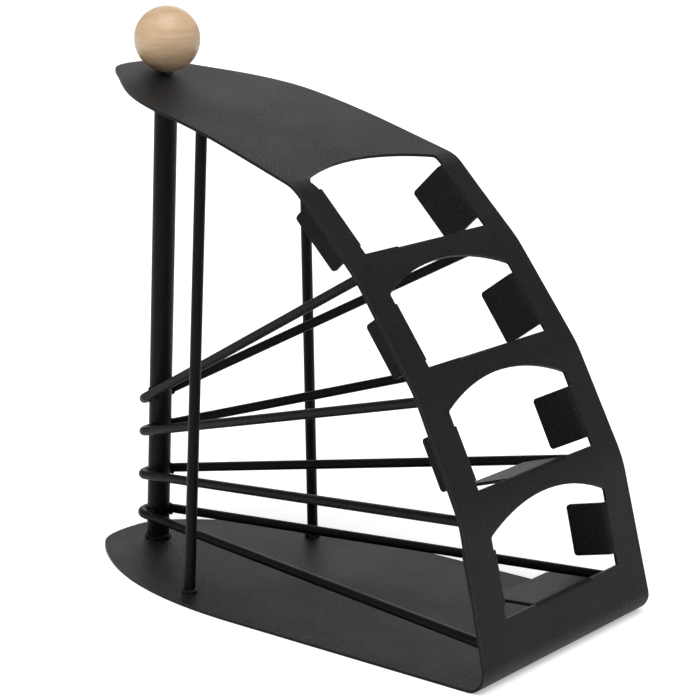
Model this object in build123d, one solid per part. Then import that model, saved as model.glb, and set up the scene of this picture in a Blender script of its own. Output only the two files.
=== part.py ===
from build123d import *
import os
from math import acos, asin, atan2, cos, hypot, radians, sin, tan

# Desk rack: one folded steel sheet makes the base, the stepped front with four windows and the top.
# A centre post and two side rods hold the top up, four wire cradles run from the post to the front,
# and a turned wooden ball sits on top of the post.
# Millimetres. X runs across the rack, +Y to the back, +Z up. The origin is on the floor, midway
# across and midway from front to back.

# Sheet
THICKNESS = 1.2
DEPTH = 211.5
BASE_HALF_WIDTH = 53.5
TOP_HALF_WIDTH = 48.0
# The front and top, as flat facets from the floor up: degrees from the vertical and length
FACETS = [(14.2, 58.8), (27.2, 44.5), (36.6, 44.5), (45.0, 39.5), (72.4, 53.3), (79.1, 68.8)]
# Outer bend radii: floor bend, the three folds of the front, the shoulder and the slight fold on top
BEND_RADII = [7.0, 45.0, 45.0, 45.0, 16.0, 400.0]
SHOULDER_HEIGHT = 150.0
BASE_NOSE = [(53.5, 112.0), (50.2, 146.0), (37.2, 181.5), (20.0, 204.5)]
TOP_NOSE = [(44.2, 138.0), (42.0, 160.5), (34.2, 178.5), (20.8, 195.5)]
TOP_NOSE_END = 205.0

# Windows, from the lowest to the highest: height of the sill on its facet and of the straight sides
WINDOW_HALF_WIDTH = 36.3
WINDOW_SILLS = [22.6, 8.2, 8.2, 8.2]
WINDOW_SIDES = [28.0, 28.0, 28.0]
ARCH_RISE = 8.0
ARCH_CORNER_RADIUS = 1.2
# The highest window's arch opens out a little where it runs over the shoulder
TOP_ARCH_HALF_WIDTH = 38.0
TOP_ARCH_LEG = 2.4

# Tabs bent back from the edges of each window
TAB_BEND_RADIUS = 1.9
TAB_CORNER_RADIUS = 1.4
SIDE_TAB_DEPTH = 16.4
SIDE_TAB_HEIGHTS = [19.0, 19.4, 21.4, 24.2]
SIDE_TAB_ABOVE_SILLS = [4.3, 3.3, 2.8, 3.9]
# How far the tabs are bent past square, towards the middle of their window, in degrees
LEFT_TAB_TURNS = [10.0, 2.5, 0.0, 0.0]
RIGHT_TAB_TURN = 0.0
SIDE_TAB_STUB = 0.2
SILL_TAB_HALF_WIDTH = 17.5
SILL_TAB_DEPTH = 18.0
SILL_TAB_RISE = 9.0
RELIEF_WIDTH = 0.4
RELIEF_DEPTH = 2.0
TAB_ROOT_OVERLAP = 0.4

# Post and side rods, which lean in towards the smaller top. The rods are welded in by hand, so the
# left one stands a little further forward, and each leans in by its own angle.
POST_RADIUS = 4.4
POST_WALL = 1.2
POST_FOOT_Y = 194.6
POST_LEAN = 1.54
ROD_RADIUS = 2.1
ROD_FEET = {-1: (-40.9, 142.0), 1: (40.4, 148.0)}
ROD_LEANS = {-1: 2.05, 1: 3.1}

# Wire cradles, from the lowest to the highest
WIRE_RADIUS = 1.8
CRADLE_POST_HEIGHTS = [11.6, 28.2, 46.5, 60.9]
CRADLE_HALF_SPREADS = [45.0, 46.0, 46.0, 37.5]
CRADLES_BELOW_SILL = [8.0, 8.3, 9.6, 6.5]
# How far each cradle is rolled out of level, in degrees: its left end is the lower one
CRADLE_ROLLS = [0.0, 1.1, 1.65, 0.4]
WIRE_TO_POST = 0.05

# Ball, stud and insert
BALL_RADIUS = 12.5
BALL_LIFT = 0.1
STUD_RADIUS = 2.0
STUD_IN_BALL = 12.0
STUD_IN_POST = 13.0
STUD_CLEARANCE = 0.05
SHEET_HOLE_RADIUS = 2.6
INSERT_LENGTH = 15.0
INSERT_DROP = 0.6

# Weld beads
POST_BEAD = 1.2
ROD_BEAD = 1.0
WIRE_BEAD = 0.8

# Room to spare for cuts that only have to pass through the sheet
THROUGH = 5.0
TOP_CUT_OVERLAP = 20.0

# The front of the floor bend is the rack's foremost point, so the middle is half way to it
FLOOR_BEND_TURN = 90 + FACETS[0][0]
FRONT_Y = BEND_RADII[0] * (tan(radians(FLOOR_BEND_TURN / 2)) - 1)
MIDDLE_Y = (FRONT_Y + DEPTH) / 2
FAR = 120.0


def point_at(start, angle, distance):
    """The (y, z) point that lies a distance from start, at an angle from the vertical."""
    return (start[0] + distance * sin(radians(angle)), start[1] + distance * cos(radians(angle)))


def facet_starts():
    """The (y, z) corner at the foot of each facet, with the corner at the end of the last one."""
    corners = [(0.0, 0.0)]
    for angle, length in FACETS:
        corners.append(point_at(corners[-1], angle, length))
    return corners


CORNERS = facet_starts()


def offset_corner(corner, angle_before, angle_after, distance):
    """A corner of the line that runs inside the sheet's outer face, a distance from it."""
    half_turn = radians(angle_after - angle_before) / 2
    middle = radians((angle_before + angle_after) / 2)
    reach = distance / cos(half_turn)
    return (corner[0] + reach * cos(middle), corner[1] - reach * sin(middle))


def side_line(distance):
    """The side view of the sheet as a wire, a distance inside its outer face."""
    angles = [-90.0] + [angle for angle, length in FACETS]
    points = [(0.0, DEPTH, distance)]
    for corner, before, after in zip(CORNERS, angles, angles[1:]):
        y, z = offset_corner(corner, before, after, distance)
        points.append((0.0, y, z))
    last_y, last_z = point_at(CORNERS[-1], FACETS[-1][0] + 90, distance)
    points.append((0.0, last_y, last_z))
    return FilletPolyline(*points, radius=[radius - distance for radius in BEND_RADII])


def side_solid(outer, closing):
    """The solid between a side line and the lines that close it, across the full width."""
    ends = [outer @ 1] + closing + [outer @ 0]
    lines = [Line(start, end) for start, end in zip(ends, ends[1:])]
    face = make_face(Wire(outer.edges() + lines))
    return extrude(face, amount=FAR, dir=(1, 0, 0), both=True)


def inner_space():
    """Everything inside the folded sheet, out past its open back."""
    line = side_line(THICKNESS)
    end = line @ 1
    start = line @ 0
    back = DEPTH + 20
    return side_solid(line, [Vector(0, back, end.Z), Vector(0, back, start.Z)])


def nose_plan(front_half_width, front_y, side_points, tip_y):
    """A tongue seen from above: straight sides that run into a rounded nose."""
    first_x, first_y = side_points[0]
    tangents = [(first_x - front_half_width, first_y - front_y), (-1, 0)]
    right = Spline(*side_points, (0, tip_y), tangents=tangents)
    left = mirror(right, Plane.YZ)
    sides = Polyline(side_points[0], (front_half_width, front_y), (-front_half_width, front_y),
                     (-first_x, first_y))
    return make_face(Wire(right.edges() + left.edges() + sides.edges()))


def outline_solid():
    """The room that the sheet's outline leaves: base, tapering front and top."""
    base_plan = nose_plan(BASE_HALF_WIDTH, -FAR, BASE_NOSE, DEPTH)
    base = extrude(base_plan, amount=BEND_RADII[0], both=True)
    shoulder_y = CORNERS[4][0]
    top_plan = nose_plan(TOP_HALF_WIDTH, shoulder_y, TOP_NOSE, TOP_NOSE_END)
    strip_length = 2 * TOP_CUT_OVERLAP
    strip = Pos(0, shoulder_y - TOP_CUT_OVERLAP + 0.01) * Rectangle(2 * TOP_HALF_WIDTH, strip_length)
    top = Pos(0, 0, SHOULDER_HEIGHT) * extrude(top_plan + strip, amount=FAR)
    front_view = Polyline((-BASE_HALF_WIDTH, 0), (BASE_HALF_WIDTH, 0), (TOP_HALF_WIDTH, SHOULDER_HEIGHT),
                          (-TOP_HALF_WIDTH, SHOULDER_HEIGHT), close=True)
    front = extrude(Plane.XZ * make_face(front_view), amount=FAR, both=True)
    return base + (front - Box(4 * FAR, 4 * FAR, 2 * BEND_RADII[0])) + top


def facet_plane(index):
    """The plane of a facet's outer face: x across, y up the facet, z outwards."""
    angle = radians(FACETS[index][0])
    y, z = CORNERS[index]
    return Plane(origin=(0, y, z), x_dir=(1, 0, 0), z_dir=(0, -cos(angle), sin(angle)))


def window_face(half_width, arch_half_width, sill, side):
    """A window with a flat sill and an arched top, which may be wider than the sill."""
    top = sill + side
    corner = (arch_half_width, top)
    far_corner = (-arch_half_width, top)
    arch = ThreePointArc(corner, (0, top + ARCH_RISE), far_corner)
    frame = Polyline(far_corner, (-half_width, sill), (half_width, sill), corner)
    face = make_face(Wire(arch.edges() + frame.edges()))
    arch_corners = face.vertices().sort_by(Axis.Y)[-2:]
    return fillet(arch_corners, ARCH_CORNER_RADIUS)


def window_cut(index):
    """The cut for one window, square to its facet."""
    sill, side = WINDOW_SILLS[index], WINDOW_SIDES[index]
    face = window_face(WINDOW_HALF_WIDTH, WINDOW_HALF_WIDTH, sill, side)
    return facet_plane(index) * extrude(face, amount=THROUGH, both=True)


def top_window_cut():
    """The highest window runs over the shoulder, so its arch is cut square to the top."""
    sill = WINDOW_SILLS[3]
    straight = FACETS[3][1] - sill
    flat = Pos(0, sill + straight / 2) * Rectangle(2 * WINDOW_HALF_WIDTH, straight)
    lower = facet_plane(3) * extrude(flat, amount=THROUGH, both=True)
    arch = window_face(WINDOW_HALF_WIDTH, TOP_ARCH_HALF_WIDTH, -THROUGH, TOP_ARCH_LEG + THROUGH)
    return lower + facet_plane(4) * extrude(arch, amount=THROUGH, both=True)


def flange_section(depth, rise):
    """An L of sheet in section: it comes along +x, ends at x = 0 and bends back along -y."""
    slope = radians(rise)
    tip = (depth * sin(slope), -depth * cos(slope))
    inner_tip = (tip[0] - THICKNESS * cos(slope), tip[1] - THICKNESS * sin(slope))
    reach = THICKNESS * (1 - sin(slope)) / cos(slope)
    inner = (-THICKNESS * cos(slope) + reach * sin(slope), -THICKNESS)
    root = -RELIEF_DEPTH - TAB_ROOT_OVERLAP
    outline = Polyline((root, 0), (0, 0), tip, inner_tip, inner, (root, -THICKNESS), close=True)
    face = make_face(outline)
    corner = face.vertices().sort_by_distance((0, 0, 0))[0]
    face = fillet(corner, TAB_BEND_RADIUS)
    inner_corner = face.vertices().sort_by_distance((inner[0], inner[1], 0))[0]
    return fillet(inner_corner, TAB_BEND_RADIUS - THICKNESS)


def tab(depth, width, rise):
    """A bent tab in its own frame: x along the bend, y towards the edge it bends at, z outwards."""
    # The section's x and y become this frame's y and z, and the extrusion runs along x.
    frame = Plane(origin=(-width / 2, 0, 0), x_dir=(0, 1, 0), z_dir=(1, 0, 0))
    solid = extrude(frame * flange_section(depth, rise), amount=width)
    tip_edges = solid.edges().filter_by(lambda edge: abs(edge.length - THICKNESS) < 0.05)
    tip_corners = tip_edges.sort_by(Axis.Z)[:2]
    return fillet(tip_corners, TAB_CORNER_RADIUS)


def side_tabs(index):
    """The two tabs bent back from the sides of one window."""
    height = SIDE_TAB_HEIGHTS[index]
    middle = WINDOW_SILLS[index] + SIDE_TAB_ABOVE_SILLS[index] + height / 2
    reach = WINDOW_HALF_WIDTH - SIDE_TAB_STUB - TAB_BEND_RADIUS
    left = Pos(-reach, middle) * Rot(0, 0, -90) * tab(SIDE_TAB_DEPTH, height, LEFT_TAB_TURNS[index])
    right = Pos(reach, middle) * Rot(0, 0, 90) * tab(SIDE_TAB_DEPTH, height, RIGHT_TAB_TURN)
    return facet_plane(index) * left + facet_plane(index) * right


def sill_tab(index):
    """The tab bent back from the middle of one sill."""
    solid = tab(SILL_TAB_DEPTH, 2 * SILL_TAB_HALF_WIDTH, SILL_TAB_RISE)
    return facet_plane(index) * Pos(0, WINDOW_SILLS[index]) * solid


def sill_relief(index):
    """The room for a sill tab's bend, with a narrow relief slot at each end."""
    notch = Box(2 * (SILL_TAB_HALF_WIDTH + RELIEF_WIDTH), 2 * RELIEF_DEPTH, 2 * THROUGH)
    return facet_plane(index) * Pos(0, WINDOW_SILLS[index]) * notch


def on_post(distance):
    """A frame on the post's axis, that far up it from the floor, with z along the axis."""
    return Pos(0, POST_FOOT_Y, 0) * Rot(POST_LEAN, 0, 0) * Pos(0, 0, distance)


def rod_shaft(side):
    """The same kind of frame for a side rod: side is -1 on the left and 1 on the right."""
    foot_x, foot_y = ROD_FEET[side]
    foot = Pos(foot_x, foot_y, 0) * Rot(0, -side * ROD_LEANS[side], 0)
    return lambda distance: foot * Pos(0, 0, distance)


def reach_top(shaft, depth):
    """How far up a leaning shaft its axis meets the top sheet, a depth below the outer face."""
    faces = [facet_plane(4), facet_plane(5)]
    reaches = []
    for plane in faces:
        start = plane.to_local_coords(shaft(0).position).Z
        step = plane.to_local_coords(shaft(1).position).Z - start
        reaches.append((-depth - start) / step)
    return min(reaches)


def column(shaft, radius, low, high):
    """A round bar on a leaning shaft's axis between two distances up it."""
    return shaft((low + high) / 2) * Cylinder(radius, high - low)


def folded_sheet():
    inner = side_line(THICKNESS)
    outer = side_line(0.0)
    ends = [Line(outer @ 0, inner @ 0), Line(inner @ 1, outer @ 1)]
    section = make_face(Wire(outer.edges() + inner.edges() + ends))
    sheet = extrude(section, amount=FAR, dir=(1, 0, 0), both=True) & outline_solid()
    for index in range(3):
        sheet -= window_cut(index)
    sheet -= top_window_cut()
    for index in range(4):
        sheet -= sill_relief(index)
        sheet += sill_tab(index)
        sheet += side_tabs(index)
    top = reach_top(on_post, 0)
    return sheet - column(on_post, SHEET_HOLE_RADIUS, top - THROUGH, top + THROUGH)


def centre_post(space):
    bar = column(on_post, POST_RADIUS, -THROUGH, DEPTH)
    bore = column(on_post, POST_RADIUS - POST_WALL, -2 * THROUGH, 2 * DEPTH)
    return (bar & space) - bore


def side_rod(side, space):
    return column(rod_shaft(side), ROD_RADIUS, -THROUGH, DEPTH) & space


def cradle_frame(index):
    """The plane of a wire cradle: origin on the post's axis, x across, y to its front ends."""
    height = CRADLE_POST_HEIGHTS[index]
    start = on_post(height).position
    end_along = WINDOW_SILLS[index] - CRADLES_BELOW_SILL[index]
    end_y, end_z = point_at(CORNERS[index], FACETS[index][0], end_along)
    run = Vector(0, end_y - start.Y, end_z - start.Z)
    level = Plane(origin=start, x_dir=(1, 0, 0), z_dir=Vector(1, 0, 0).cross(run))
    return Plane(level.location * Rot(0, CRADLE_ROLLS[index], 0)), run.length


def wire_cradle(index, space):
    """One wire: from the front sheet, round the back of the post and to the front again."""
    plane, length = cradle_frame(index)
    post_axis = on_post(1).position - on_post(0).position
    slope = asin(abs(plane.y_dir.dot(post_axis)))
    bend_radius = POST_RADIUS + WIRE_RADIUS + WIRE_TO_POST
    # The sloping wire crosses the post on an ellipse, so its bend is centred a little behind the axis
    centre_y = -bend_radius * (1 / cos(slope) - 1)
    spread = CRADLE_HALF_SPREADS[index]
    reach = hypot(spread, length - centre_y)
    tangent = atan2(length - centre_y, spread) - acos(bend_radius / reach)
    side = (bend_radius * cos(tangent), centre_y + bend_radius * sin(tangent))
    back = (0, centre_y - bend_radius)
    right_leg = Line((spread, length), side)
    bend = ThreePointArc(side, back, (-side[0], side[1]))
    left_leg = Line((-side[0], side[1]), (-spread, length))
    path = Wire([right_leg, bend, left_leg])
    start = Plane(origin=path @ 0, z_dir=path % 0)
    wire = sweep(start * Circle(WIRE_RADIUS), path=path)
    return (plane * wire) & space


def cradle_post_weld(index, wire, post):
    """The beads that hold a cradle to the two sides of the post."""
    plane = cradle_frame(index)[0]
    side = POST_RADIUS + WIRE_RADIUS / 2
    blob = Cylinder(WIRE_RADIUS, 2 * (WIRE_RADIUS + WIRE_BEAD))
    blob = fillet(blob.edges().filter_by(GeomType.CIRCLE), WIRE_BEAD)
    beads = [plane * Pos(x, WIRE_RADIUS / 2, 0) * blob for x in (-side, side)]
    solid_post = column(on_post, POST_RADIUS, 0, DEPTH)
    return Compound([bead - solid_post - wire for bead in beads])


def cradle_end_weld(index, wire, space):
    """The beads at a cradle's two ends on the back of the front sheet."""
    plane, length = cradle_frame(index)
    spread = CRADLE_HALF_SPREADS[index]
    # The sphere's poles point along the wire, where the cuts take them away
    spots = [plane * Pos(x, length - THICKNESS, 0) * Rot(90, 0, 0) for x in (-spread, spread)]
    beads = [spot * Sphere(WIRE_RADIUS + WIRE_BEAD) for spot in spots]
    return ((beads[0] + beads[1]) & space) - wire


def ring_weld(shaft, radius, bead, distance, normal, space):
    """A ring of weld round a shaft where it meets the sheet."""
    spot = Plane(origin=shaft(distance).position, z_dir=normal)
    return ((spot * Torus(radius, bead)) & space) - column(shaft, radius, -THROUGH, DEPTH)


def shaft_welds(name, shaft, radius, bead, space):
    """The rings at the foot and the head of a post or rod."""
    head = reach_top(shaft, THICKNESS)
    head_normal = facet_plane(5).z_dir
    foot = THICKNESS / (shaft(1).position.Z - shaft(0).position.Z)
    return {
        name + "_foot_weld": ring_weld(shaft, radius, bead, foot, (0, 0, 1), space),
        name + "_head_weld": ring_weld(shaft, radius, bead, head, head_normal, space),
    }


def ball_and_fixings():
    """The ball, the stud that it turns on and the insert that holds the stud in the post."""
    top = reach_top(on_post, 0)
    ball_height = reach_top(on_post, -(BALL_RADIUS + BALL_LIFT))
    stud_top = ball_height - BALL_RADIUS + STUD_IN_BALL
    stud = column(on_post, STUD_RADIUS, top - STUD_IN_POST, stud_top)
    insert_top = reach_top(on_post, THICKNESS) - INSERT_DROP
    insert = column(on_post, POST_RADIUS - POST_WALL, insert_top - INSERT_LENGTH, insert_top)
    insert -= column(on_post, STUD_RADIUS + STUD_CLEARANCE, top - 2 * INSERT_LENGTH, top)
    ball = on_post(ball_height) * Sphere(BALL_RADIUS)
    return {"wooden_ball": ball - stud, "ball_stud": stud, "post_thread_insert": insert}


def build_parts():
    space = inner_space()
    parts = {"folded_sheet": folded_sheet()}
    parts["centre_post"] = centre_post(space)
    parts.update(shaft_welds("centre_post", on_post, POST_RADIUS, POST_BEAD, space))
    for name, side in (("left_rod", -1), ("right_rod", 1)):
        parts[name] = side_rod(side, space)
        parts.update(shaft_welds(name, rod_shaft(side), ROD_RADIUS, ROD_BEAD, space))
    for index in range(4):
        name = f"wire_cradle_{index + 1}"
        wire = wire_cradle(index, space)
        parts[name] = wire
        parts[name + "_post_weld"] = cradle_post_weld(index, wire, parts["centre_post"])
        parts[name + "_end_weld"] = cradle_end_weld(index, wire, space)
    parts.update(ball_and_fixings())
    return parts


def main():
    os.makedirs("parts", exist_ok=True)
    for name, solid in build_parts().items():
        export_step(Pos(0, -MIDDLE_Y, 0) * solid, f"parts/{name}.step")


main()
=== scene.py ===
from math import asin, cos, pi, radians, sin, tan

import bmesh
import bpy
from mathutils import Matrix, Quaternion, Vector


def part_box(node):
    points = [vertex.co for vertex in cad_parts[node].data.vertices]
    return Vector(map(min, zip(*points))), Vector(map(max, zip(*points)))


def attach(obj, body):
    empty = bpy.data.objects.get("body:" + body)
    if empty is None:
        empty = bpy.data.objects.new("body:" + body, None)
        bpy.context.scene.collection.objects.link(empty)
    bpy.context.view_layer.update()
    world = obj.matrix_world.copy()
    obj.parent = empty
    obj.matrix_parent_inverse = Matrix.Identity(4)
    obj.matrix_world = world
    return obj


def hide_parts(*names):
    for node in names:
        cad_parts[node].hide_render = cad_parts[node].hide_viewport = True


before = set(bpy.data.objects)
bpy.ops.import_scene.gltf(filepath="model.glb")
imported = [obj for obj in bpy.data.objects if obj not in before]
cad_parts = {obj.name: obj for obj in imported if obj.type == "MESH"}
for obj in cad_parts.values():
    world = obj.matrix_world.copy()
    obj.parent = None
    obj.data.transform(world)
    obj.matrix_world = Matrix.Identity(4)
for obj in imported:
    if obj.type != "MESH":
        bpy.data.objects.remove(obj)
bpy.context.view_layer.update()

MM = 0.001

# Sizes that the shown pieces share with the CAD part
SHEET_MM = 1.2
BALL_RADIUS = 12.5 * MM
STUD_RADIUS = 2.0 * MM
POST_LEAN = radians(1.54)
TOP_SLOPE = radians(10.9)
POST_RADIUS_MM = 4.4
ROD_RADIUS_MM = 2.1
# Softening of the ball's mouth, where the stud goes in
MOUTH_EASE = 0.15 * MM
BALL_STEPS = 72
THREAD_PITCH = 0.7 * MM
THREAD_RIDGE = 0.33 * MM
STUD_CHAMFER = 0.4 * MM
# Specular level of the coat: about a quarter of the usual 0.5 of smooth paint
COAT_GLOSS = 0.12
# The grains of a fine-texture coat are finer than this; they are drawn coarser so that they show
COAT_GRAIN = 0.5 * MM
# Drops in the ring of a weld round a shaft, and in each of the two rows of its tack
RING_DROPS = 28
TACK_SPREADS = (-24, -12, 0, 12, 24)
# Drops wander from the weld's path by up to this share of their radius
DROP_WANDER = 0.15
CRADLES = range(1, 5)

ball_low, ball_high = (Vector(corner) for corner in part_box("wooden_ball"))
BALL_CENTRE = Vector(((ball_low.x + ball_high.x) / 2, (ball_low.y + ball_high.y) / 2,
                      ball_high.z - BALL_RADIUS))


# ---------------------------------------------------------------- nodes and colours

def linear(hex_colour):
    """An sRGB hex colour as the linear colour that the nodes take."""
    channels = [int(hex_colour[i:i + 2], 16) / 255 for i in (1, 3, 5)]
    return [c / 12.92 if c <= 0.04045 else ((c + 0.055) / 1.055) ** 2.4 for c in channels] + [1.0]


def add(tree, kind, links=None, **settings):
    """Adds a node, sets its properties and sockets by name, and links sockets to it."""
    node = tree.nodes.new(kind)
    sockets = {}
    for name, value in settings.items():
        if hasattr(node, name):
            setattr(node, name, value)
        else:
            sockets[name.replace("_", " ")] = value
    for name, value in sockets.items():
        node.inputs[name].default_value = value
    for name, output in (links or {}).items():
        tree.links.new(output, node.inputs[name])
    return node


def new_material(name):
    material = bpy.data.materials.new(name)
    material.use_nodes = True
    material.node_tree.nodes.clear()
    return material, material.node_tree


# ---------------------------------------------------------------- materials

def edge_share(tree):
    """How near a point is to an outward edge, from 0 on the flat to 1 on the edge itself."""
    softened = add(tree, "ShaderNodeBevel", Radius=0.45 * MM, samples=4)
    unsoftened = add(tree, "ShaderNodeNewGeometry")
    agree = add(tree, "ShaderNodeVectorMath", operation="DOT_PRODUCT")
    tree.links.new(softened.outputs["Normal"], agree.inputs[0])
    tree.links.new(unsoftened.outputs["Normal"], agree.inputs[1])
    return add(tree, "ShaderNodeMapRange", {"Value": agree.outputs["Value"]},
               From_Min=0.99, From_Max=0.8).outputs["Result"]


def powder_coated_steel(name, dark, pale, roughness, grain_depth):
    """Polyester powder coat baked on mild steel: a matt black skin with a fine, rounded grain.

    The cured grains scatter the light, most of all at a low angle; the pale specks set in the colour
    are painted glints of that light, laid out in the grain's own pattern. The coat draws thin over
    cut edges, which look a little greyer, and has faint duller patches from dust.
    """
    material, tree = new_material(name)
    place = add(tree, "ShaderNodeTexCoord").outputs["Object"]
    grain = add(tree, "ShaderNodeTexNoise", {"Vector": place}, Scale=1 / COAT_GRAIN,
                Detail=2.0, Roughness=0.6)
    # Orange peel, the slow ripple that the melted powder sets in
    peel = add(tree, "ShaderNodeTexNoise", {"Vector": place}, Scale=1 / (3.5 * MM), Detail=1.0)
    patches = add(tree, "ShaderNodeTexNoise", {"Vector": place}, Scale=1 / (42 * MM),
                  Detail=4.0, Roughness=0.6)
    # Painted glints: the grain's pattern, with its higher grains given the pale colour as if lit
    grain_and_painted_glints = add(tree, "ShaderNodeMapRange", {"Value": grain.outputs["Fac"]},
                  From_Min=0.35, From_Max=0.68)
    skin = add(tree, "ShaderNodeMix", {"Factor": grain_and_painted_glints.outputs["Result"]}, data_type="RGBA",
               A=linear(dark), B=linear(pale))
    dust = add(tree, "ShaderNodeMapRange", {"Value": patches.outputs["Fac"]},
               From_Min=0.45, From_Max=0.75, To_Max=0.2)
    dusty = add(tree, "ShaderNodeMix", {"Factor": dust.outputs["Result"],
                                        "A": skin.outputs["Result"]},
                data_type="RGBA", B=linear("#222223"))
    thin = add(tree, "ShaderNodeMapRange", {"Value": edge_share(tree)}, To_Max=0.4)
    worn = add(tree, "ShaderNodeMix", {"Factor": thin.outputs["Result"],
                                       "A": dusty.outputs["Result"]},
               data_type="RGBA", B=linear("#606062"))
    dullness = add(tree, "ShaderNodeMapRange", {"Value": patches.outputs["Fac"]}, From_Min=0.3,
                   From_Max=0.8, To_Min=roughness - 0.04, To_Max=roughness + 0.08)
    fine = add(tree, "ShaderNodeBump", {"Height": grain.outputs["Fac"]},
               Strength=grain_depth, Distance=0.55 * MM)
    bump = add(tree, "ShaderNodeBump", {"Height": peel.outputs["Fac"],
                                        "Normal": fine.outputs["Normal"]},
               Strength=0.15, Distance=0.1 * MM)
    shader = add(tree, "ShaderNodeBsdfPrincipled",
                 {"Base Color": worn.outputs["Result"], "Roughness": dullness.outputs["Result"],
                  "Normal": bump.outputs["Normal"]}, IOR=1.5)
    shader.inputs["Specular IOR Level"].default_value = COAT_GLOSS
    add(tree, "ShaderNodeOutputMaterial", {"Surface": shader.outputs["BSDF"]})
    return material


def turned_beech(name):
    """A ball turned from pale beech and sealed with satin lacquer.

    Growth rings show as fine, nearly level bands, short darker flecks run along the grain, and the
    lacquer gives a soft sheen over a warm, even colour.
    """
    material, tree = new_material(name)
    place = add(tree, "ShaderNodeTexCoord").outputs["Object"]
    # The grain lies level, a little across the ball
    laid = add(tree, "ShaderNodeMapping", {"Vector": place}, Location=-BALL_CENTRE)
    laid.inputs["Rotation"].default_value = (radians(3), radians(-4), radians(35))
    drawn_out = add(tree, "ShaderNodeMapping", {"Vector": laid.outputs["Vector"]})
    drawn_out.inputs["Scale"].default_value = (0.06, 0.25, 1.0)
    rings = add(tree, "ShaderNodeTexNoise", {"Vector": drawn_out.outputs["Vector"]},
                Scale=1 / (1.5 * MM), Detail=3.0, Roughness=0.55)
    # Beech pores are 0.1 mm across; these are drawn at twice that so that they show
    pores = add(tree, "ShaderNodeTexNoise", {"Vector": drawn_out.outputs["Vector"]},
                Scale=1 / (0.2 * MM), Detail=2.0, Roughness=0.6)
    tone = add(tree, "ShaderNodeMapRange", {"Value": rings.outputs["Fac"]},
               From_Min=0.3, From_Max=0.7)
    body = add(tree, "ShaderNodeMix", {"Factor": tone.outputs["Result"]}, data_type="RGBA",
               A=linear("#cbaa84"), B=linear("#ddbf9b"))
    fleck = add(tree, "ShaderNodeMapRange", {"Value": pores.outputs["Fac"]},
                From_Min=0.55, From_Max=0.75, To_Max=0.35)
    flecked = add(tree, "ShaderNodeMix", {"Factor": fleck.outputs["Result"],
                                          "A": body.outputs["Result"]},
                  data_type="RGBA", B=linear("#9c7852"))
    sheen = add(tree, "ShaderNodeMapRange", {"Value": pores.outputs["Fac"]},
                From_Min=0.3, From_Max=0.7, To_Min=0.36, To_Max=0.48)
    bump = add(tree, "ShaderNodeBump", {"Height": pores.outputs["Fac"]},
               Strength=0.2, Distance=0.05 * MM)
    shader = add(tree, "ShaderNodeBsdfPrincipled",
                 {"Base Color": flecked.outputs["Result"], "Roughness": sheen.outputs["Result"],
                  "Normal": bump.outputs["Normal"]}, IOR=1.48)
    shader.inputs["Coat Weight"].default_value = 0.3
    shader.inputs["Coat Roughness"].default_value = 0.35
    add(tree, "ShaderNodeOutputMaterial", {"Surface": shader.outputs["BSDF"]})
    return material


def zinc_plated_steel(name):
    """Zinc on cold-formed steel: a dull grey metal, cloudy with crystals and finely scratched; its
    grey is darkened as painted shade, for the shade that falls on the stud and insert under the
    ball.
    """
    material, tree = new_material(name)
    place = add(tree, "ShaderNodeTexCoord").outputs["Object"]
    cloud = add(tree, "ShaderNodeTexNoise", {"Vector": place}, Scale=1 / (1.6 * MM), Detail=4.0)
    along = add(tree, "ShaderNodeMapping", {"Vector": place})
    along.inputs["Scale"].default_value = (1.0, 1.0, 0.08)
    scratches = add(tree, "ShaderNodeTexNoise", {"Vector": along.outputs["Vector"]},
                    Scale=1 / (0.2 * MM), Detail=2.0)
    # Painted shade: both greys are darker than plated zinc, standing for the shade under the ball
    colour = add(tree, "ShaderNodeMix", {"Factor": cloud.outputs["Fac"]}, data_type="RGBA",
                 A=linear("#4f4e4a"), B=linear("#7c7a72"))
    dullness = add(tree, "ShaderNodeMapRange", {"Value": scratches.outputs["Fac"]},
                   To_Min=0.22, To_Max=0.42)
    bump = add(tree, "ShaderNodeBump", {"Height": scratches.outputs["Fac"]},
               Strength=0.2, Distance=0.02 * MM)
    shader = add(tree, "ShaderNodeBsdfPrincipled",
                 {"Base Color": colour.outputs["Result"], "Roughness": dullness.outputs["Result"],
                  "Normal": bump.outputs["Normal"]}, Metallic=1.0)
    add(tree, "ShaderNodeOutputMaterial", {"Surface": shader.outputs["BSDF"]})
    return material


# ---------------------------------------------------------------- pieces from the CAD nodes

def piece(name, mesh, material, node, body="rack"):
    """A shown piece that stands for a CAD node, riding on that node's body."""
    mesh.name = name
    mesh.materials.clear()
    mesh.materials.append(material)
    thing = bpy.data.objects.new(name, mesh)
    bpy.context.scene.collection.objects.link(thing)
    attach(thing, body)
    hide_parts(node)
    return thing


def welded_copy(node):
    """A copy of a CAD node's mesh with its triangles joined and its flat faces made whole."""
    shape = bmesh.new()
    shape.from_mesh(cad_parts[node].data)
    bmesh.ops.remove_doubles(shape, verts=shape.verts, dist=0.002 * MM)
    bmesh.ops.dissolve_limit(shape, angle_limit=radians(0.5), verts=shape.verts, edges=shape.edges)
    return shape


def eased(node, material, edge_mm, body="rack"):
    """A CAD node's shape with its sharp edges eased by a small bevel and its curves smooth."""
    shape = welded_copy(node)
    mesh = bpy.data.meshes.new(node)
    shape.to_mesh(mesh)
    shape.free()
    thing = piece(node + "_finished", mesh, material, node, body)
    for face in mesh.polygons:
        face.use_smooth = True
    mesh.set_sharp_from_angle(angle=radians(32))
    bevel = thing.modifiers.new("eased_edges", "BEVEL")
    bevel.width = edge_mm * MM
    bevel.segments = 2
    bevel.limit_method = "ANGLE"
    bevel.angle_limit = radians(40)
    # Large flat faces keep their own flat shading, and only the bends between them turn
    weighted = thing.modifiers.new("flat_faces_stay_flat", "WEIGHTED_NORMAL")
    weighted.keep_sharp = True
    weighted.weight = 100
    return thing


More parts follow.
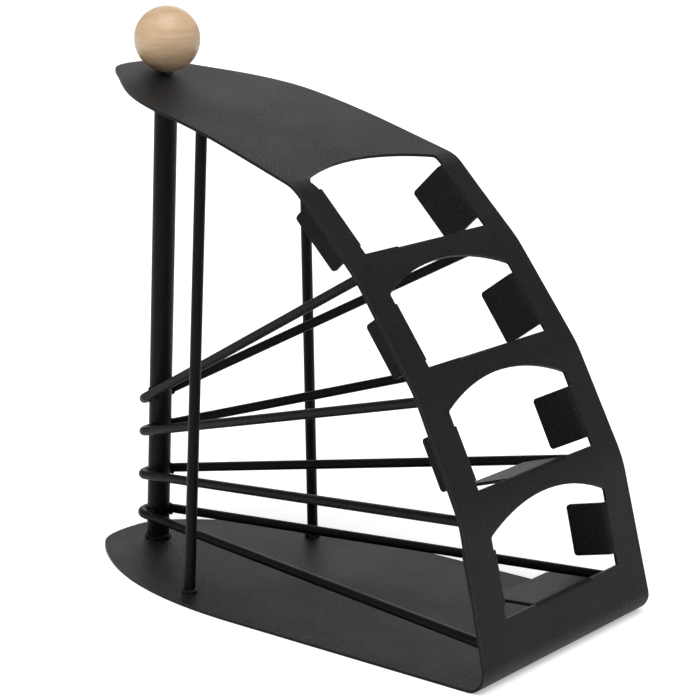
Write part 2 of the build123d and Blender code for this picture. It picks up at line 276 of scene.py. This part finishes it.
def turned(profile, segments=96):
    """A closed mesh turned from (radius, height) points; it starts and ends on the axis."""
    shape = bmesh.new()
    rings = []
    for radius, height in profile:
        count = segments if radius > 0 else 1
        angles = [2 * pi * step / count for step in range(count)]
        rings.append([shape.verts.new((radius * cos(a), radius * sin(a), height)) for a in angles])
    for lower, upper in zip(rings, rings[1:]):
        for step in range(segments):
            after = (step + 1) % segments
            corners = [lower[step % len(lower)], lower[after % len(lower)],
                       upper[after % len(upper)], upper[step % len(upper)]]
            shape.faces.new(list(dict.fromkeys(corners)))
    bmesh.ops.recalc_face_normals(shape, faces=shape.faces)
    return shape


def on_the_post(shape, foot):
    """Moves a mesh made round the Z axis to a point on the post's leaning axis."""
    shape.transform(Matrix.Translation(foot) @ Matrix.Rotation(POST_LEAN, 4, "X"))


def turned_ball():
    """The ball, turned in one go, with a softened mouth where the stud goes in."""
    bore_top = -0.5 * MM
    mouth = asin((STUD_RADIUS + MOUTH_EASE) / BALL_RADIUS)
    arc = [mouth + (pi - mouth) * step / BALL_STEPS for step in range(BALL_STEPS)]
    profile = [(0, bore_top), (STUD_RADIUS, bore_top)]
    profile.append((STUD_RADIUS, -BALL_RADIUS * cos(mouth) + MOUTH_EASE))
    profile += [(BALL_RADIUS * sin(angle), -BALL_RADIUS * cos(angle)) for angle in arc]
    profile.append((0, BALL_RADIUS))
    shape = turned(profile)
    on_the_post(shape, BALL_CENTRE)
    mesh = bpy.data.meshes.new("turned_ball")
    shape.to_mesh(mesh)
    shape.free()
    for face in mesh.polygons:
        face.use_smooth = True
    mesh.set_sharp_from_angle(angle=radians(40))
    piece("turned_ball", mesh, beech, "wooden_ball", "ball")


# ---------------------------------------------------------------- geometry-node pieces

def node_tree(name, inputs):
    """A geometry-node tree with named size inputs, its group input and its group output."""
    tree = bpy.data.node_groups.new(name, "GeometryNodeTree")
    tree.interface.new_socket("Geometry", in_out="INPUT", socket_type="NodeSocketGeometry")
    for label, kind in inputs:
        tree.interface.new_socket(label, in_out="INPUT", socket_type=kind)
    tree.interface.new_socket("Geometry", in_out="OUTPUT", socket_type="NodeSocketGeometry")
    return tree, tree.nodes.new("NodeGroupInput"), tree.nodes.new("NodeGroupOutput")


def grown(name, tree, start_mesh, values):
    """Runs a tree on a start mesh and gives back the finished mesh."""
    thing = bpy.data.objects.new(name, start_mesh)
    bpy.context.scene.collection.objects.link(thing)
    grow = thing.modifiers.new("grow", "NODES")
    grow.node_group = tree
    for socket in tree.interface.items_tree:
        if socket.in_out == "INPUT" and socket.name in values:
            grow[socket.identifier] = values[socket.name]
    thing.update_tag()
    shown = thing.evaluated_get(bpy.context.evaluated_depsgraph_get())
    mesh = bpy.data.meshes.new_from_object(shown)
    bpy.data.objects.remove(thing)
    return mesh


def weld_tree(material):
    """Drops of weld metal set along a path, fused into one lumpy, rippled bead."""
    tree, given, out = node_tree("fused_weld_drops", [
        ("Drop Radius", "NodeSocketFloat"), ("Wander", "NodeSocketFloat"),
        ("Seed", "NodeSocketInt")])
    stray = add(tree, "FunctionNodeRandomValue", {"Seed": given.outputs["Seed"]},
                data_type="FLOAT_VECTOR")
    stray.inputs[0].default_value = (-1, -1, -1)
    stray.inputs[1].default_value = (1, 1, 1)
    offset = add(tree, "ShaderNodeVectorMath", operation="SCALE")
    tree.links.new(stray.outputs[0], offset.inputs[0])
    tree.links.new(given.outputs["Wander"], offset.inputs["Scale"])
    spots = add(tree, "GeometryNodeSetPosition", {"Geometry": given.outputs["Geometry"],
                                                  "Offset": offset.outputs["Vector"]})
    drop = add(tree, "GeometryNodeMeshIcoSphere", {"Radius": given.outputs["Drop Radius"]},
               Subdivisions=3)
    swell = add(tree, "FunctionNodeRandomValue", {"Seed": given.outputs["Seed"]},
                data_type="FLOAT")
    swell.inputs[2].default_value = 0.75
    swell.inputs[3].default_value = 1.15
    drops = add(tree, "GeometryNodeInstanceOnPoints", {"Points": spots.outputs["Geometry"],
                                                       "Instance": drop.outputs["Mesh"],
                                                       "Scale": swell.outputs[1]})
    solid = add(tree, "GeometryNodeRealizeInstances", {"Geometry": drops.outputs["Instances"]})
    melt = add(tree, "GeometryNodeMeshToVolume", {"Mesh": solid.outputs["Geometry"]},
               resolution_mode="VOXEL_SIZE")
    melt.inputs["Voxel Size"].default_value = 0.14 * MM
    melt.inputs["Interior Band Width"].default_value = 0.5 * MM
    skin = add(tree, "GeometryNodeVolumeToMesh", {"Volume": melt.outputs["Volume"]},
               resolution_mode="VOXEL_SIZE")
    skin.inputs["Voxel Size"].default_value = 0.2 * MM
    smooth = add(tree, "GeometryNodeSetShadeSmooth", {"Geometry": skin.outputs["Mesh"]})
    coat = add(tree, "GeometryNodeSetMaterial", {"Geometry": smooth.outputs["Geometry"]})
    coat.inputs["Material"].default_value = material
    tree.links.new(coat.outputs["Geometry"], out.inputs["Geometry"])
    return tree


def weld(node, points, drop_mm, seed):
    """A weld bead along a list of points, in place of a CAD node's smooth one."""
    path = bpy.data.meshes.new(node + "_path")
    path.from_pydata([tuple(point) for point in points], [], [])
    mesh = grown(node, drops_of_weld, path,
                 {"Drop Radius": drop_mm * MM, "Wander": DROP_WANDER * drop_mm * MM, "Seed": seed})
    piece(node + "_bead", mesh, weld_coat, node)


def half_centre(node, side):
    """The middle of the part of a CAD node that lies on one side of the rack."""
    points = [vertex.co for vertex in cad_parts[node].data.vertices
              if vertex.co.x * side > 0]
    low = Vector([min(point[axis] for point in points) for axis in range(3)])
    high = Vector([max(point[axis] for point in points) for axis in range(3)])
    return (low + high) / 2


def shaft_ring(node, height, shaft_mm, slope, turn):
    """Points round a shaft where it meets the sheet: a thin ring, with a heavier tack in front."""
    low, high = (Vector(corner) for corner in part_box(node))
    centre = (low + high) / 2
    radius = (shaft_mm + 0.1) * MM
    angles = [2 * pi * step / RING_DROPS for step in range(RING_DROPS)]
    angles += [turn + radians(spread) for spread in TACK_SPREADS] * 2
    upper_row = RING_DROPS + len(TACK_SPREADS)
    points = []
    for count, angle in enumerate(angles):
        reach = radius + (0.5 * MM if count >= RING_DROPS else 0)
        y = reach * sin(angle)
        rise = 0.7 * MM if count >= upper_row else 0
        points.append(Vector((centre.x + reach * cos(angle), centre.y + y,
                              height + y * tan(slope) + rise)))
    return points


def weld_beads():
    """Every weld: rings at the shafts, tacks at the cradles' loops and at their front ends."""
    shafts = (("centre_post", POST_RADIUS_MM, 0.95), ("left_rod", ROD_RADIUS_MM, 0.8),
              ("right_rod", ROD_RADIUS_MM, 0.8))
    for number, (shaft, size_mm, drop_mm) in enumerate(shafts):
        foot = shaft + "_foot_weld"
        turn = radians(-120 if shaft != "right_rod" else 170)
        weld(foot, shaft_ring(foot, (SHEET_MM + 0.1) * MM, size_mm, 0, turn), drop_mm, number)
        head = shaft + "_head_weld"
        low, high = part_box(head)
        height = (low[2] + high[2]) / 2
        points = shaft_ring(head, height, size_mm, TOP_SLOPE, radians(60))
        weld(head, points[:RING_DROPS], 0.6, 10 + number)
    for number in CRADLES:
        loop = f"wire_cradle_{number}_post_weld"
        ends = f"wire_cradle_{number}_end_weld"
        loop_points, end_points = [], []
        for side in (-1, 1):
            middle = half_centre(loop, side)
            for along in (-1.2, -0.4, 0.4, 1.2):
                for up in (-1.5, 1.5):
                    loop_points.append(middle + Vector((-0.2 * side, along, up)) * MM)
            tip = half_centre(ends, side)
            for step in range(10):
                angle = 2 * pi * step / 10
                end_points.append(tip + Vector((2.0 * cos(angle), 0, 1.9 * sin(angle))) * MM)
        weld(loop, loop_points, 0.95, 20 + number)
        weld(ends, end_points, 0.8, 30 + number)


def thread_tree(material):
    """A screw thread: a ridge that climbs round a plain core."""
    tree, given, out = node_tree("rolled_screw_thread", [
        ("Length", "NodeSocketFloat"), ("Core Radius", "NodeSocketFloat"),
        ("Ridge", "NodeSocketFloat"), ("Turns", "NodeSocketFloat")])
    climb = add(tree, "GeometryNodeCurveSpiral", {"Height": given.outputs["Length"],
                                                  "Start Radius": given.outputs["Core Radius"],
                                                  "End Radius": given.outputs["Core Radius"],
                                                  "Rotations": given.outputs["Turns"]},
                Resolution=32)
    section = add(tree, "GeometryNodeCurvePrimitiveCircle", {"Radius": given.outputs["Ridge"]},
                  Resolution=6)
    ridge = add(tree, "GeometryNodeCurveToMesh", {"Curve": climb.outputs["Curve"],
                                                  "Profile Curve": section.outputs["Curve"]})
    ridge.inputs["Fill Caps"].default_value = True
    both = add(tree, "GeometryNodeJoinGeometry")
    tree.links.new(ridge.outputs["Mesh"], both.inputs["Geometry"])
    tree.links.new(given.outputs["Geometry"], both.inputs["Geometry"])
    solid = add(tree, "GeometryNodeRealizeInstances", {"Geometry": both.outputs["Geometry"]})
    plated = add(tree, "GeometryNodeSetMaterial", {"Geometry": solid.outputs["Geometry"]})
    plated.inputs["Material"].default_value = material
    tree.links.new(plated.outputs["Geometry"], out.inputs["Geometry"])
    return tree


def threaded_stud():
    """The stud that the ball turns on: a core with chamfered ends and a fine thread."""
    low, high = (Vector(corner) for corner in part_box("ball_stud"))
    length = (high.z - low.z) * 0.99
    core = STUD_RADIUS - 0.35 * MM
    profile = [(0, 0), (core - STUD_CHAMFER, 0), (core, STUD_CHAMFER), (core, length - STUD_CHAMFER),
               (core - STUD_CHAMFER, length), (0, length)]
    shape = turned(profile, 48)
    blank = bpy.data.meshes.new("stud_core")
    shape.to_mesh(blank)
    shape.free()
    mesh = grown("stud", thread_tree(zinc), blank,
                 {"Length": length, "Core Radius": core, "Ridge": THREAD_RIDGE,
                  "Turns": length / THREAD_PITCH})
    shape = bmesh.new()
    shape.from_mesh(mesh)
    foot = Vector(((low.x + high.x) / 2, (low.y + high.y) / 2, low.z + 0.05 * MM))
    foot.y += length / 2 * sin(POST_LEAN)
    on_the_post(shape, foot)
    shape.to_mesh(mesh)
    shape.free()
    piece("threaded_stud", mesh, zinc, "ball_stud", "ball")


# ---------------------------------------------------------------- floor, light and camera

def studio_floor():
    material, tree = new_material("white_paper_sweep")
    place = add(tree, "ShaderNodeTexCoord")
    fibre = add(tree, "ShaderNodeTexNoise", {"Vector": place.outputs["Object"]}, Scale=40.0)
    tone = add(tree, "ShaderNodeMix", {"Factor": fibre.outputs["Fac"]}, data_type="RGBA")
    tone.inputs["A"].default_value = linear("#f4f4f4")
    tone.inputs["B"].default_value = linear("#fafafa")
    shader = add(tree, "ShaderNodeBsdfPrincipled", {"Base Color": tone.outputs["Result"]},
                 Roughness=0.9)
    shader.inputs["Emission Color"].default_value = linear("#ffffff")
    shader.inputs["Emission Strength"].default_value = 0.4
    add(tree, "ShaderNodeOutputMaterial", {"Surface": shader.outputs["BSDF"]})
    mesh = bpy.data.meshes.new("floor")
    reach = 6.0
    corners = [(-reach, -reach, 0), (reach, -reach, 0), (reach, reach, 0), (-reach, reach, 0)]
    mesh.from_pydata(corners, [], [(0, 1, 2, 3)])
    mesh.materials.append(material)
    floor = bpy.data.objects.new("floor", mesh)
    bpy.context.scene.collection.objects.link(floor)


def broad_light(name, travel, strength, spread):
    """A far, wide light that shines along one direction."""
    lamp = bpy.data.lights.new(name, "SUN")
    lamp.energy = strength
    lamp.angle = radians(spread)
    thing = bpy.data.objects.new(name, lamp)
    thing.rotation_euler = Vector(travel).to_track_quat("-Z", "Y").to_euler()
    bpy.context.scene.collection.objects.link(thing)


def studio_lights():
    """A pale room, a broad soft light overhead and a low one from behind, on the right."""
    room = bpy.data.worlds.new("pale_room")
    room.use_nodes = True
    room.node_tree.nodes["Background"].inputs["Color"].default_value = linear("#ffffff")
    room.node_tree.nodes["Background"].inputs["Strength"].default_value = 0.33
    bpy.context.scene.world = room
    broad_light("overhead_light", (0.35, 0.3, -1), 2.2, 55)
    broad_light("low_back_light", (-0.8, -0.56, -0.33), 0.45, 40)
    bpy.context.scene.view_settings.view_transform = "Standard"


def camera():
    """A long lens a little above the rack, to the left of its windowed front."""
    lens_data = bpy.data.cameras.new("camera")
    lens_data.sensor_width = 36
    lens_data.lens = 117.7
    lens_data.shift_x = 0.019
    view = bpy.data.objects.new("camera", lens_data)
    view.location = (-0.6452, -0.4949, 0.2893)
    turn, tilt, roll = radians(-52.52), radians(13.67), radians(0.94)
    ahead = Vector((-sin(turn) * cos(tilt), cos(turn) * cos(tilt), -sin(tilt)))
    level = ahead.to_track_quat("-Z", "Y")
    view.rotation_euler = (level @ Quaternion((0, 0, 1), roll)).to_euler()
    bpy.context.scene.collection.objects.link(view)
    bpy.context.scene.camera = view


# ---------------------------------------------------------------- the rack

# The second colour of each coat is the pale of its painted glints on the grain
sheet_coat = powder_coated_steel("fine_texture_black_powder_coat", "#050506", "#202021",
                                 roughness=0.46, grain_depth=1.0)
bar_coat = powder_coated_steel("satin_black_powder_coat_on_rod", "#030304", "#080809",
                               roughness=0.4, grain_depth=0.5)
weld_coat = powder_coated_steel("satin_black_powder_coat_on_weld", "#050506", "#0e0e0f",
                                roughness=0.26, grain_depth=0.4)
beech = turned_beech("satin_lacquered_beech")
zinc = zinc_plated_steel("zinc_plated_steel_darkened_as_painted_shade")
drops_of_weld = weld_tree(weld_coat)

eased("folded_sheet", sheet_coat, 0.25)
for bar in ("centre_post", "left_rod", "right_rod"):
    eased(bar, bar_coat, 0.1)
for number in CRADLES:
    eased(f"wire_cradle_{number}", bar_coat, 0.1)
weld_beads()
turned_ball()
threaded_stud()
eased("post_thread_insert", zinc, 0.15)

studio_floor()
studio_lights()
camera()

bpy.context.view_layer.update()
